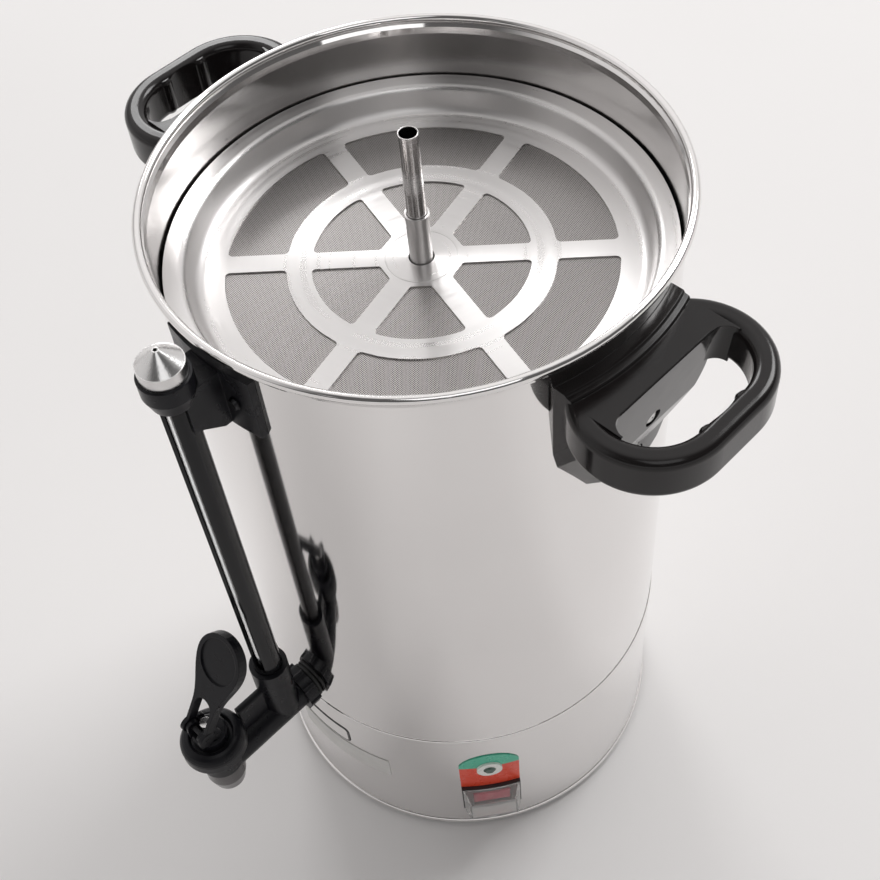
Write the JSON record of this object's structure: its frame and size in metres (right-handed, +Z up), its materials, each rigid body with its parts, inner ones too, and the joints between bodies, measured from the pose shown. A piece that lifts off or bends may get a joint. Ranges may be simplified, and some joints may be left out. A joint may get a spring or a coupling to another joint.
{
  "type": "coffee urn",
  "caption": "Free-standing electric coffee urn in polished steel with a lever tap under a sight gauge, two side handles, a lit switch and a lift-out percolator set.",
  "frame": {"origin": "centre of the rubber foot ring's bottom face, on the tank's axis", "axes": "+Z up along the tank's axis, -Y towards the tap and the gauge, X along the handles"},
  "size_m": [0.39, 0.3569, 0.499],
  "materials": {
    "mirror_steel": "mirror-polished stainless steel",
    "satin_steel": "bright pressed stainless steel",
    "mesh_steel": "fine perforated stainless steel",
    "plated_sheet": "zinc-plated sheet",
    "dark_steel": "blackened screws",
    "cast_aluminium": "as cast",
    "element_sheath": "heat-tinted sheath",
    "handle_black": "warm black moulded phenolic, glossy",
    "tap_black": "black moulded nylon, satin",
    "guard_black": "black extruded guard, satin gloss",
    "gauge_glass": "clear tube",
    "seal_silicone": "red silicone",
    "seal_white": "white silicone",
    "spout_steel": "dark satin steel",
    "switch_black": "black moulded plastic",
    "rocker_red": "red translucent rocker",
    "clear_cover": "soft clear splash cover",
    "indicator_plate": "two-colour printed plate, green above red",
    "lamp_white": "white lamp ring",
    "lamp_lens": "dark lens, unlit",
    "foot_rubber": "black rubber",
    "phenolic_brown": "brown phenolic",
    "ceramic_white": "white steatite",
    "pin_brass": "brass blades"
  },
  "bodies": {
    "urn": {"tank_shell": "mirror_steel", "tank_floor": "satin_steel", "base_skirt": "mirror_steel", "base_pan": "plated_sheet", "pan_brackets": "satin_steel", "base_screws": "dark_steel", "foot_ring": "foot_rubber", "heater_plate": "cast_aluminium", "heater_element": "element_sheath", "thermostat": "phenolic_brown", "thermal_cutout": "ceramic_white", "terminal_block": "ceramic_white", "power_inlet": "switch_black", "inlet_pins": "pin_brass", "handle_right": "handle_black", "handle_left": "handle_black", "handle_bosses": "satin_steel", "handle_screws": "satin_steel", "gauge_bracket": "tap_black", "gauge_studs": "dark_steel", "gauge_cap": "mirror_steel", "gauge_guard": "guard_black", "gauge_glass": "gauge_glass", "gauge_seals": "seal_silicone", "tap_body": "tap_black", "tap_union_nut": "tap_black", "tap_washers": "seal_white", "tap_back_nut": "satin_steel", "tap_bonnet": "tap_black", "lever_pin": "satin_steel", "tap_spout": "spout_steel", "switch_frame": "switch_black", "rocker_pin": "satin_steel", "switch_cover": "clear_cover", "indicator_plate": "indicator_plate", "lamp_ring": "lamp_white", "lamp_lens": "lamp_lens"},
    "riser": {"riser_tube": "satin_steel", "riser_collar": "satin_steel", "riser_foot": "satin_steel"},
    "pump_valve": {"pump_valve": "satin_steel"},
    "basket": {"coffee_basket": "satin_steel", "basket_mesh": "mesh_steel"},
    "spreader": {"spreader_plate": "satin_steel", "spreader_mesh": "mesh_steel"},
    "tap_lever": {"tap_lever": "tap_black", "lift_pin": "satin_steel"},
    "tap_stem": {"tap_stem": "satin_steel", "tap_seat_cup": "seal_white", "tap_spring": "satin_steel"},
    "switch_rocker": {"switch_rocker": "rocker_red"}
  },
  "joints": [
    {"name": "tap_lever_swing", "type": "hinge", "parent": "urn", "child": "tap_lever", "pos_m": [0, -0.20861, 0.1979], "axis": [1, 0, 0], "range_deg": [0, 40]},
    {"name": "tap_stem_lift", "type": "slide", "parent": "urn", "child": "tap_stem", "axis": [0, 0, 1], "range_m": [0, 0.00444], "stiffness_N_per_m": 600, "springref_m": -0.006, "deforming": ["tap_spring"]},
    {"name": "rocker_tip", "type": "hinge", "parent": "urn", "child": "switch_rocker", "pos_m": [0.09916, -0.07692, 0.0494], "axis": [-0.6129, -0.7902, 0], "range_deg": [0, 14]},
    {"name": "riser_lift", "type": "slide", "parent": "urn", "child": "riser", "axis": [0, 0, 1], "range_m": [0, 0.1]},
    {"name": "pump_valve_lift", "type": "slide", "parent": "riser", "child": "pump_valve", "axis": [0, 0, 1], "range_m": [0, 0.002]},
    {"name": "basket_lift", "type": "slide", "parent": "riser", "child": "basket", "axis": [0, 0, 1], "range_m": [0, 0.12]},
    {"name": "spreader_lift", "type": "slide", "parent": "basket", "child": "spreader", "axis": [0, 0, 1], "range_m": [0, 0.028]}
  ],
  "couplings": [
    {"joint": "tap_lever_swing", "follows": "tap_stem_lift", "rad_per_m": 157.01}
  ]
}
